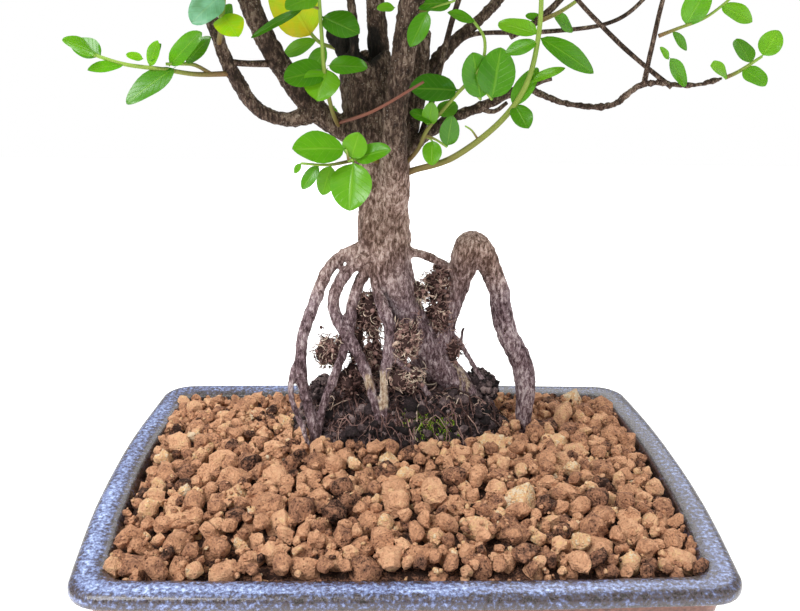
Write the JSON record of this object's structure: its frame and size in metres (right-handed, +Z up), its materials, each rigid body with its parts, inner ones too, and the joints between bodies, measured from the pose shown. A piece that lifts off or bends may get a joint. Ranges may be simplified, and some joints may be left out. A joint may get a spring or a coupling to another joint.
{
  "type": "potted bonsai tree",
  "caption": "Small-leaved bonsai tree standing on tall bare roots in a glazed rectangular pot of coarse grit, with a light leafy crown on slender limbs.",
  "frame": {"origin": "on the table under the middle of the pot", "axes": "+Z up, +X to the right and +Y away from the viewer of the pot's long front side"},
  "size_m": [0.2871, 0.244, 0.4088],
  "materials": {
    "pot_glaze": "blue-grey mottled glaze, dark slate at the lip and red-brown where it breaks over edges",
    "drain_mesh": "black woven plastic mesh",
    "akadama": "matt baked-clay granules, ochre, tan and grey-brown",
    "compost": "dark damp crumbly compost with fine roots",
    "bark": "rough grey-brown bark, flaking to cream and orange on the roots",
    "leaf_green": "glossy thin green leaves on green to brown stems"
  },
  "bodies": {
    "root": {"pot": "pot_glaze", "drain_mesh_left": "drain_mesh", "drain_mesh_right": "drain_mesh", "grit": "akadama", "root_ball": "compost", "tree": "bark", "spray_left_twig": "leaf_green", "spray_left_top": "leaf_green", "spray_left_inner": "leaf_green", "spray_left_pale": "leaf_green", "spray_front": "leaf_green", "spray_right_low": "leaf_green", "spray_shoot": "leaf_green", "spray_right_top": "leaf_green", "spray_far_twig": "leaf_green", "spray_far_tip": "leaf_green", "spray_01": "leaf_green", "spray_02": "leaf_green", "spray_03": "leaf_green", "spray_04": "leaf_green", "spray_05": "leaf_green", "spray_06": "leaf_green", "spray_07": "leaf_green", "spray_08": "leaf_green", "spray_09": "leaf_green", "spray_10": "leaf_green", "spray_11": "leaf_green", "spray_12": "leaf_green", "spray_13": "leaf_green", "spray_14": "leaf_green", "spray_15": "leaf_green", "spray_16": "leaf_green", "spray_17": "leaf_green", "spray_18": "leaf_green", "spray_19": "leaf_green", "spray_20": "leaf_green", "spray_21": "leaf_green", "spray_22": "leaf_green", "spray_23": "leaf_green", "spray_24": "leaf_green", "spray_25": "leaf_green", "spray_26": "leaf_green", "spray_27": "leaf_green", "spray_28": "leaf_green", "spray_29": "leaf_green", "spray_30": "leaf_green", "spray_31": "leaf_green", "spray_32": "leaf_green"}
  },
  "joints": []
}
